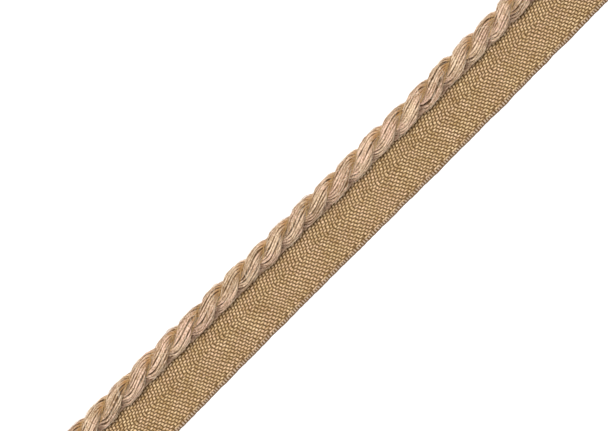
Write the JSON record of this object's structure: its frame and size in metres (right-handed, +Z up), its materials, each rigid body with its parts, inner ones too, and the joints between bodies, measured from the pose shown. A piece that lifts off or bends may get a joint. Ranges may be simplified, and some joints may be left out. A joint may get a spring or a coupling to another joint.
{
  "type": "twisted cord trim on a herringbone tape",
  "caption": "Left-laid twisted yarn cord sewn along one edge of a woven herringbone tape, a cut length lying flat. The tape is the lip that a seam holds.",
  "frame": {"origin": "on the ground below the middle of the trim's box", "axes": "+X along the trim, +Y from the tape towards the cord, +Z up out of the tape's face"},
  "size_m": [0.2, 0.0202, 0.0079],
  "materials": {
    "tape_yarn": "matt golden tan herringbone weave",
    "cord_yarn": "matt beige slubby yarn with loose fibres",
    "sewing_thread": "fine ochre thread"
  },
  "bodies": {
    "root": {"tape": "tape_yarn", "strand_a": "cord_yarn", "strand_b": "cord_yarn"}
  },
  "joints": []
}
